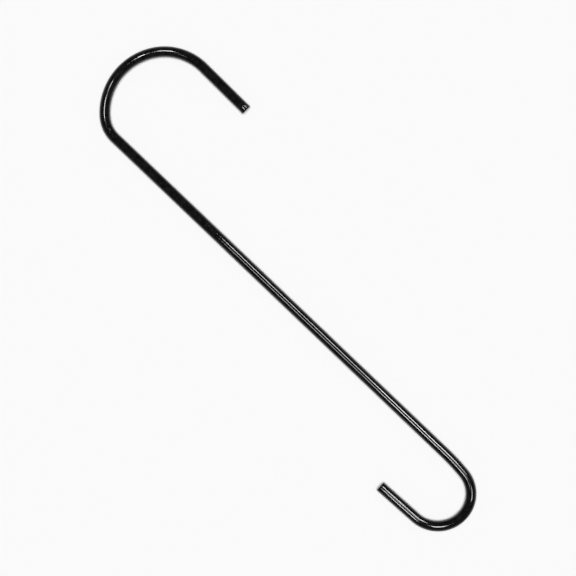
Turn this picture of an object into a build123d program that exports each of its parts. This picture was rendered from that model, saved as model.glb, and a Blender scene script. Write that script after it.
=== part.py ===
from build123d import *
import os
from math import radians, sin

# Extension hook: one round steel rod, cold bent in one plane to a long S. The large hook goes over a branch,
# rail or bracket, and the small hook at the other end carries the load.
# The hook lies flat. X runs across it, towards the side on which the large hook opens. Y runs along the shank,
# towards the large hook. Z is up, and the rod rests on Z = 0.

# Driving dimensions, in millimetres and degrees
# Each bend is stated by the radius of the rod's centre line and by the angle that it turns.
rod_diameter = 6.0
seat_to_seat = 305.0  # inside top of the large hook to inside bottom of the small hook

# Large hook: a tight shoulder swings the rod out of the shank, then two wide bends carry it over and down
shoulder_radius = 18.4
shoulder_angle = 43.0
crown_radius = 34.4
crown_angle = 79.0
return_radius = 31.0
return_angle = 59.0
large_leg = 34.1  # straight end beyond the last bend

# Small hook: the shank bows slightly into a close bend, and its end stays a little open
bow_radius = 126.0
bow_angle = 7.2
bowl_radius = 17.8
bowl_angle = 76.3
rise_radius = 18.9
rise_angle = 94.5
small_leg = 26.7  # straight end beyond the last bend

# Cut ends: sheared square, with the edge broken before coating
large_tip_round = 0.3
small_tip_round = 0.6

# What follows from them
rod_radius = rod_diameter / 2
large_bends = [(shoulder_radius, shoulder_angle), (crown_radius, crown_angle), (return_radius, return_angle)]
small_bends = [(bow_radius, bow_angle), (bowl_radius, bowl_angle), (rise_radius, rise_angle)]


def seat_reach(bends):
    """How far past the shank's end the inside of a hook lies, where the rod has turned a quarter circle."""
    reach = -rod_radius
    turned = 0
    for radius, angle in bends:
        turned_next = min(turned + angle, 90)
        reach += radius * (sin(radians(turned_next)) - sin(radians(turned)))
        turned = turned_next
    return reach


# Each run of rod starts at the origin along +Z and bends towards +X. It comes with the place where it ends.


def straight_run(length):
    run = Cylinder(rod_radius, length, align=(Align.CENTER, Align.CENTER, Align.MIN))
    return run, Pos(0, 0, length)


def bent_run(radius, angle):
    run = revolve(Circle(rod_radius), Axis((radius, 0, 0), (0, 1, 0)), angle)
    return run, Pos(radius, 0, 0) * Rot(0, angle, 0) * Pos(-radius, 0, 0)


def free_end(length, tip_round):
    leg, _ = straight_run(length)
    tip_edge = leg.faces().sort_by(Axis.Z)[-1].edges()
    return fillet(tip_edge, tip_round)


def formed_hook(station, bends, leg_length, tip_round):
    """The bends of one hook in order from station, then the straight leg with its cut tip."""
    runs = []
    for radius, angle in bends:
        run, end = bent_run(radius, angle)
        runs.append(station * run)
        station = station * end
    runs.append(station * free_end(leg_length, tip_round))
    return runs


def extension_hook():
    """The whole rod: the straight shank, with a hook formed from each end, both turning the same way."""
    shank_length = seat_to_seat - seat_reach(large_bends) - seat_reach(small_bends)
    shank_bottom = seat_reach(small_bends) - seat_to_seat / 2
    foot = Plane((0, shank_bottom, rod_radius), x_dir=(1, 0, 0), z_dir=(0, 1, 0)).location
    shank, top = straight_run(shank_length)
    large_hook = formed_hook(foot * top, large_bends, large_leg, large_tip_round)
    small_hook = formed_hook(foot * Rot(0, 180, 0), small_bends, small_leg, small_tip_round)
    rod = (foot * shank).fuse(*large_hook, *small_hook)
    return Pos(-rod.bounding_box().center().X, 0, 0) * rod


os.makedirs("parts", exist_ok=True)
export_step(extension_hook(), "parts/extension_hook.step")
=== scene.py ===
import bpy
import bmesh
from math import cos, pi, radians, sin, tan
from mathutils import Matrix, Vector


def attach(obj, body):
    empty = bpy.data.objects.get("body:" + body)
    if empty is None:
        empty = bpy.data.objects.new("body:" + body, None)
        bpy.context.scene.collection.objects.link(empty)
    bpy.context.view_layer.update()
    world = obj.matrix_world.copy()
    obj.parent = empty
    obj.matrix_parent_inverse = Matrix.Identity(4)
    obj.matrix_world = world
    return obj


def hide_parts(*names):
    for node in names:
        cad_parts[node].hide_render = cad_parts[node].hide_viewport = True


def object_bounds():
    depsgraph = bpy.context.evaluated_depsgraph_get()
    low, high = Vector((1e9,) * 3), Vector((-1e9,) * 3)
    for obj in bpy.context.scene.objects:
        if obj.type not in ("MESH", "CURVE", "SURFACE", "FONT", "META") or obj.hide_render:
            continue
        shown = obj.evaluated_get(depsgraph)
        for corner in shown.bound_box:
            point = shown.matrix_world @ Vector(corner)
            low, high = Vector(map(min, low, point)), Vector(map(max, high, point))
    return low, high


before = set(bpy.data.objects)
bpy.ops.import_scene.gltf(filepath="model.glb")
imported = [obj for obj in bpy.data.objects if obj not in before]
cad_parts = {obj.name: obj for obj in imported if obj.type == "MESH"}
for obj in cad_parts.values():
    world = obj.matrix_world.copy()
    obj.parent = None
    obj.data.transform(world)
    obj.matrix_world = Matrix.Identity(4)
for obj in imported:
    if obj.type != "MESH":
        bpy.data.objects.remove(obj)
cad_lowest, cad_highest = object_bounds()
scene = bpy.context.scene
scene.view_settings.view_transform = "Standard"


# Camera
# The hook was laid down and photographed from straight above with a long lens. It lies across the picture,
# with its large hook at the upper left, so the camera is turned about the vertical.
picture_width = 0.3235  # metres across the picture at the middle of the rod
picture_centre = Vector((-0.00598, 0.00357, 0.003))
camera_height = 1.40  # above the middle of the rod
camera_turn = radians(-46.33)
film_width = 36.0  # millimetres
nearest_seen = 0.05
farthest_seen = 50.0

camera_data = bpy.data.cameras.new("camera")
camera_data.sensor_width = film_width
camera_data.lens = film_width * camera_height / picture_width
camera_data.clip_start = nearest_seen
camera_data.clip_end = farthest_seen
camera = bpy.data.objects.new("camera", camera_data)
camera.location = picture_centre + Vector((0, 0, camera_height))
camera.rotation_euler = (0, 0, camera_turn)
scene.collection.objects.link(camera)
scene.camera = camera


# Bent rod
# One length of round mild steel rod, cold bent in one plane round formers. The shank stays straight. Three
# bends make the large hook at one end and three the small hook at the other. Each ends in a straight leg.
# Sizes are in metres, and a bend is the radius of the rod's middle and the degrees that it turns.
rod_radius = (cad_highest.z - cad_lowest.z) / 2
large_bends = [(0.0184, 43.0), (0.0344, 79.0), (0.0310, 59.0)]
large_leg = 0.0341
small_bends = [(0.126, 7.2), (0.0178, 76.3), (0.0189, 94.5)]
small_leg = 0.0267

# The mesh has a ring of points at each of these steps along the rod.
shank_step = 0.002
bend_step = 0.0009
leg_step = 0.0004
points_round = 64

# The ends were sheared square. The blade drew the top of the rod down over its last few millimetres, and the
# broken edge was softened by the coating.
large_tip_round = 0.0003
small_tip_round = 0.0006
draw_length = 0.0036
draw_depth = 0.00022
draw_curve = 1.5  # how sharply the top dips: 1 is a straight ramp
edge_steps = 6
face_rings = (0.9, 0.6, 0.3)  # shares of the flat face's radius


def bends_reach(bends):
    """How far the bends carry the rod's middle past the shank's end, to where it runs straight across."""
    reach = 0
    turned = 0
    for bend_radius, bend_angle in bends:
        turned_next = min(turned + bend_angle, 90)
        reach += bend_radius * (sin(radians(turned_next)) - sin(radians(turned)))
        turned = turned_next
    return reach


def walk_hook(start, heading, bends, leg, tip_round):
    """Sections from the shank's end to the tip: the rod's middle, the way it runs, its radius, the draw."""
    sections = []
    place = start.copy()
    for bend_radius, bend_angle in bends:
        steps = round(bend_radius * radians(bend_angle) / bend_step)
        turn = radians(bend_angle) / steps
        chord = 2 * bend_radius * sin(turn / 2)
        for _ in range(steps):
            chord_heading = heading - turn / 2
            place = place + chord * Vector((cos(chord_heading), sin(chord_heading), 0))
            heading -= turn
            sections.append((place, heading, rod_radius, 0))
    forward = Vector((cos(heading), sin(heading), 0))
    tip = place + leg * forward
    steps = round(leg / leg_step)
    for step in range(1, steps):
        left = leg * (1 - step / steps)
        if left > tip_round:
            draw = draw_depth * max(0, 1 - left / draw_length) ** draw_curve
            sections.append((tip - left * forward, heading, rod_radius, draw))
    for step in range(edge_steps + 1):
        angle = pi / 2 * step / edge_steps
        back = tip_round * (1 - sin(angle))
        inwards = tip_round * (1 - cos(angle))
        sections.append((tip - back * forward, heading, rod_radius - inwards, draw_depth))
    for share in face_rings:
        sections.append((tip, heading, (rod_radius - tip_round) * share, draw_depth * share))
    return sections


middle_length = cad_highest.y - cad_lowest.y - 2 * rod_radius
shank_length = middle_length - bends_reach(large_bends) - bends_reach(small_bends)
shank_top = Vector((0, shank_length, 0))
large_hook = walk_hook(shank_top, pi / 2, large_bends, large_leg, large_tip_round)
small_hook = walk_hook(Vector((0, 0, 0)), -pi / 2, small_bends, small_leg, small_tip_round)
shank_steps = round(shank_length / shank_step)
shank = [(shank_top * step / shank_steps, pi / 2, rod_radius, 0) for step in range(shank_steps + 1)]
# The small hook was walked from the shank to its tip, so it is turned round to run up the rod.
small_hook = [(place, heading + pi, radius, draw) for place, heading, radius, draw in reversed(small_hook)]

rod = bmesh.new()
rings = []
for place, heading, radius, draw in small_hook + shank + large_hook:
    side = Vector((sin(heading), -cos(heading), 0))
    ring = []
    for number in range(points_round):
        angle = 2 * pi * number / points_round
        height = radius * sin(angle) - draw * max(0, sin(angle))
        ring.append(rod.verts.new(place + radius * cos(angle) * side + Vector((0, 0, height))))
    rings.append(ring)
for ring, following_ring in zip(rings, rings[1:]):
    for number in range(points_round):
        following = (number + 1) % points_round
        rod.faces.new((ring[number], ring[following], following_ring[following], following_ring[number]))
for ring in (rings[0], rings[-1]):
    centre = rod.verts.new(sum((vertex.co for vertex in ring), Vector()) / points_round)
    for number in range(points_round):
        rod.faces.new((ring[number], ring[(number + 1) % points_round], centre))
bmesh.ops.recalc_face_normals(rod, faces=rod.faces)

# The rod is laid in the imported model's own box.
lowest = Vector(min(vertex.co[axis] for vertex in rod.verts) for axis in range(3))
highest = Vector(max(vertex.co[axis] for vertex in rod.verts) for axis in range(3))
for vertex in rod.verts:
    for axis in range(3):
        share = (vertex.co[axis] - lowest[axis]) / (highest[axis] - lowest[axis])
        vertex.co[axis] = cad_lowest[axis] + share * (cad_highest[axis] - cad_lowest[axis])
for face in rod.faces:
    face.smooth = True
rod_mesh = bpy.data.meshes.new("coated_rod")
rod.to_mesh(rod_mesh)
rod.free()
coated_rod = bpy.data.objects.new("coated_rod", rod_mesh)
scene.collection.objects.link(coated_rod)

# Black powder coat: a pigmented film about 0.1 mm thick, baked to a gloss. It flows into a fine orange peel,
# and its gloss and blackness vary a little with the thickness of the film.
coat_black = (0.0025, 0.0025, 0.0027, 1)
coat_thin_black = (0.0085, 0.0085, 0.0089, 1)
coat_ior = 1.45
glossiest = 0.04  # roughness
dullest = 0.07
gloss_patch = 0.012
thin_patch = 0.0022
peel_spacing = 0.0016
peel_height = 0.000006
grain_spacing = 0.00035
grain_share = 0.12  # of the peel's height

powder_coat = bpy.data.materials.new("black_powder_coat")
powder_coat.use_nodes = True
nodes = powder_coat.node_tree.nodes
links = powder_coat.node_tree.links
shader = nodes["Principled BSDF"]
shader.inputs["IOR"].default_value = coat_ior
on_the_rod = nodes.new("ShaderNodeTexCoord")


def noise(spacing, detail):
    """Soft noise whose patches are about one spacing across."""
    node = nodes.new("ShaderNodeTexNoise")
    node.inputs["Scale"].default_value = 1 / spacing
    node.inputs["Detail"].default_value = detail
    links.new(on_the_rod.outputs["Object"], node.inputs["Vector"])
    return node.outputs["Fac"]


def stretched(factor, margin, to_lowest=0.0, to_highest=1.0):
    """Noise seldom comes near 0 or 1, so what lies between the margins is stretched over the range."""
    node = nodes.new("ShaderNodeMapRange")
    node.inputs["From Min"].default_value = margin
    node.inputs["From Max"].default_value = 1 - margin
    node.inputs["To Min"].default_value = to_lowest
    node.inputs["To Max"].default_value = to_highest
    links.new(factor, node.inputs["Value"])
    return node.outputs["Result"]


relief = nodes.new("ShaderNodeMath")
relief.operation = "MULTIPLY_ADD"
links.new(noise(grain_spacing, detail=1.0), relief.inputs[0])
relief.inputs[1].default_value = grain_share
links.new(noise(peel_spacing, detail=1.0), relief.inputs[2])
bump = nodes.new("ShaderNodeBump")
bump.inputs["Distance"].default_value = peel_height
links.new(relief.outputs["Value"], bump.inputs["Height"])
links.new(bump.outputs["Normal"], shader.inputs["Normal"])

roughness = stretched(noise(gloss_patch, detail=3.0), margin=0.3, to_lowest=glossiest, to_highest=dullest)
links.new(roughness, shader.inputs["Roughness"])

tint = nodes.new("ShaderNodeMix")
tint.data_type = "RGBA"
tint.inputs["A"].default_value = coat_black
tint.inputs["B"].default_value = coat_thin_black
links.new(stretched(noise(thin_patch, detail=2.0), margin=0.35), tint.inputs["Factor"])
links.new(tint.outputs["Result"], shader.inputs["Base Color"])

rod_mesh.materials.append(powder_coat)
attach(coated_rod, "root")
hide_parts("extension_hook")


# Floor
# A wide sheet of matt white paper, lit evenly, on which the hook lies and casts a narrow soft shadow. It
# reaches so far that a low view still has white behind the hook.
floor_reach = 12.0
floor_sides = 96
paper_white = (0.96, 0.96, 0.96, 1)

sheet = bmesh.new()
bmesh.ops.create_circle(sheet, cap_ends=True, segments=floor_sides, radius=floor_reach)
floor_mesh = bpy.data.meshes.new("floor")
sheet.to_mesh(floor_mesh)
sheet.free()
floor = bpy.data.objects.new("floor", floor_mesh)
scene.collection.objects.link(floor)
paper = bpy.data.materials.new("white_paper")
paper.use_nodes = True
paper_shader = paper.node_tree.nodes["Principled BSDF"]
paper_shader.inputs["Base Color"].default_value = paper_white
paper_shader.inputs["Roughness"].default_value = 1.0
paper_shader.inputs["Specular IOR Level"].default_value = 0.0
floor_mesh.materials.append(paper)


# Even light
# One wide soft lamp far overhead lights the paper and the coat's own colour evenly. It is kept out of the
# gloss, where the soft boxes make the bright lines.
daylight = 2.98  # with the surroundings' light this makes pi, under which a colour shows as it is written
daylight_spread = radians(30)
overhead_height = 3.0

overhead_data = bpy.data.lights.new("overhead", "SUN")
overhead_data.energy = daylight
overhead_data.angle = daylight_spread
overhead = bpy.data.objects.new("overhead", overhead_data)
overhead.location = (0, 0, overhead_height)
overhead.visible_glossy = False
scene.collection.objects.link(overhead)


# Surroundings
# A dim, even grey all round, as a studio's dark walls give. It lightens the shadow beside the rod a little
# and shows faintly in the gloss.
surroundings_grey = (0.05, 0.05, 0.05, 1)

world = bpy.data.worlds.new("studio")
world.use_nodes = True
world.node_tree.nodes["Background"].inputs["Color"].default_value = surroundings_grey
scene.world = world


# Soft boxes
# Lamps hung round and above the hook, which show only in its gloss, as bright lines along the rod. Each has
# a grid on its face, so it reaches one stretch of the rod. High ones give long lines, and low ones give
# short strokes on a bend.
high = 0.84
low = 0.25
picture_right = Vector((cos(camera_turn), sin(camera_turn), 0))
picture_up = Vector((-sin(camera_turn), cos(camera_turn), 0))


def in_picture(right, up, height):
    """A place in metres from the middle of the picture: to the right, up the picture, and above it."""
    return picture_centre + right * picture_right + up * picture_up + Vector((0, 0, height))


def soft_box(name, place, aim, turn, length, width, brightness, grid=16):
    """A lamp whose length lies turned by so many degrees from the picture's right.

    The beam is brightest towards the place aimed at and fades to nothing half the grid's angle away from it.
    Its brightness counts a perfectly white floor as 1.
    """
    data = bpy.data.lights.new(name, "AREA")
    data.shape = "RECTANGLE"
    data.size = length
    data.size_y = width
    data.spread = radians(grid)
    half = data.spread / 2
    data.energy = brightness * pi * length * width * (1 - half / tan(half))
    lamp = bpy.data.objects.new(name, data)
    lamp.location = in_picture(*place)
    back = (lamp.location - in_picture(*aim, 0)).normalized()
    along = cos(radians(turn)) * picture_right + sin(radians(turn)) * picture_up
    along = (along - along.dot(back) * back).normalized()
    lamp.rotation_euler = Matrix((along, back.cross(along), back)).transposed().to_euler()
    lamp.visible_camera = False
    lamp.visible_diffuse = False
    scene.collection.objects.link(lamp)


# The shank shows two lines side by side, which grow brighter towards the small hook.
soft_box("shank_right", (0.39, 0.36, high), aim=(0.055, -0.05),
         turn=135, length=0.22, width=0.12, brightness=55)
soft_box("shank_right_end", (0.53, 0.21, high), aim=(0.14, -0.055),
         turn=155, length=0.24, width=0.12, brightness=75)
soft_box("shank_left", (-0.18, -0.23, high), aim=(0.005, -0.02),
         turn=140, length=0.20, width=0.12, brightness=22)
soft_box("shank_left_end", (-0.10, -0.35, high), aim=(0.07, -0.07),
         turn=120, length=0.08, width=0.12, brightness=55)

# The large hook shows short strokes on its crown and shoulder, and two where its tip is drawn down.
soft_box("crown_right", (-0.08, 0.19, low), aim=(-0.075, 0.135),
         turn=0, length=0.02, width=0.05, brightness=55)
soft_box("crown_left", (-0.10, 0.16, low), aim=(-0.08, 0.12),
         turn=20, length=0.008, width=0.05, brightness=70)
soft_box("shoulder_high", (-0.13, 0.14, low), aim=(-0.075, 0.105),
         turn=55, length=0.008, width=0.05, brightness=40, grid=30)
soft_box("shoulder_low", (-0.13, 0.12, low), aim=(-0.09, 0.11),
         turn=85, length=0.02, width=0.04, brightness=70)
soft_box("tip_left", (-0.055, 0.05, low), aim=(-0.025, 0.10),
         turn=135, length=0.025, width=0.04, brightness=45, grid=9)
soft_box("tip_right", (0.155, 0.26, low), aim=(-0.025, 0.10),
         turn=135, length=0.03, width=0.05, brightness=45, grid=8)

# The small hook shows a stroke on each side of its bend, then two lines along its leg.
soft_box("bend_right", (0.185, -0.135, low), aim=(0.10, -0.105),
         turn=90, length=0.04, width=0.05, brightness=35)
soft_box("bend_left", (0.10, -0.19, low), aim=(0.085, -0.135),
         turn=180, length=0.022, width=0.05, brightness=60)
soft_box("leg_upper", (0.42, 0.20, high), aim=(0.025, -0.175),
         turn=140, length=0.23, width=0.12, brightness=25, grid=20)
soft_box("leg_lower", (-0.135, -0.54, high), aim=(0.145, -0.17),
         turn=145, length=0.11, width=0.11, brightness=85)
soft_box("leg_end", (0.265, -0.09, high), aim=(-0.005, -0.225),
         turn=125, length=0.16, width=0.12, brightness=48, grid=20)
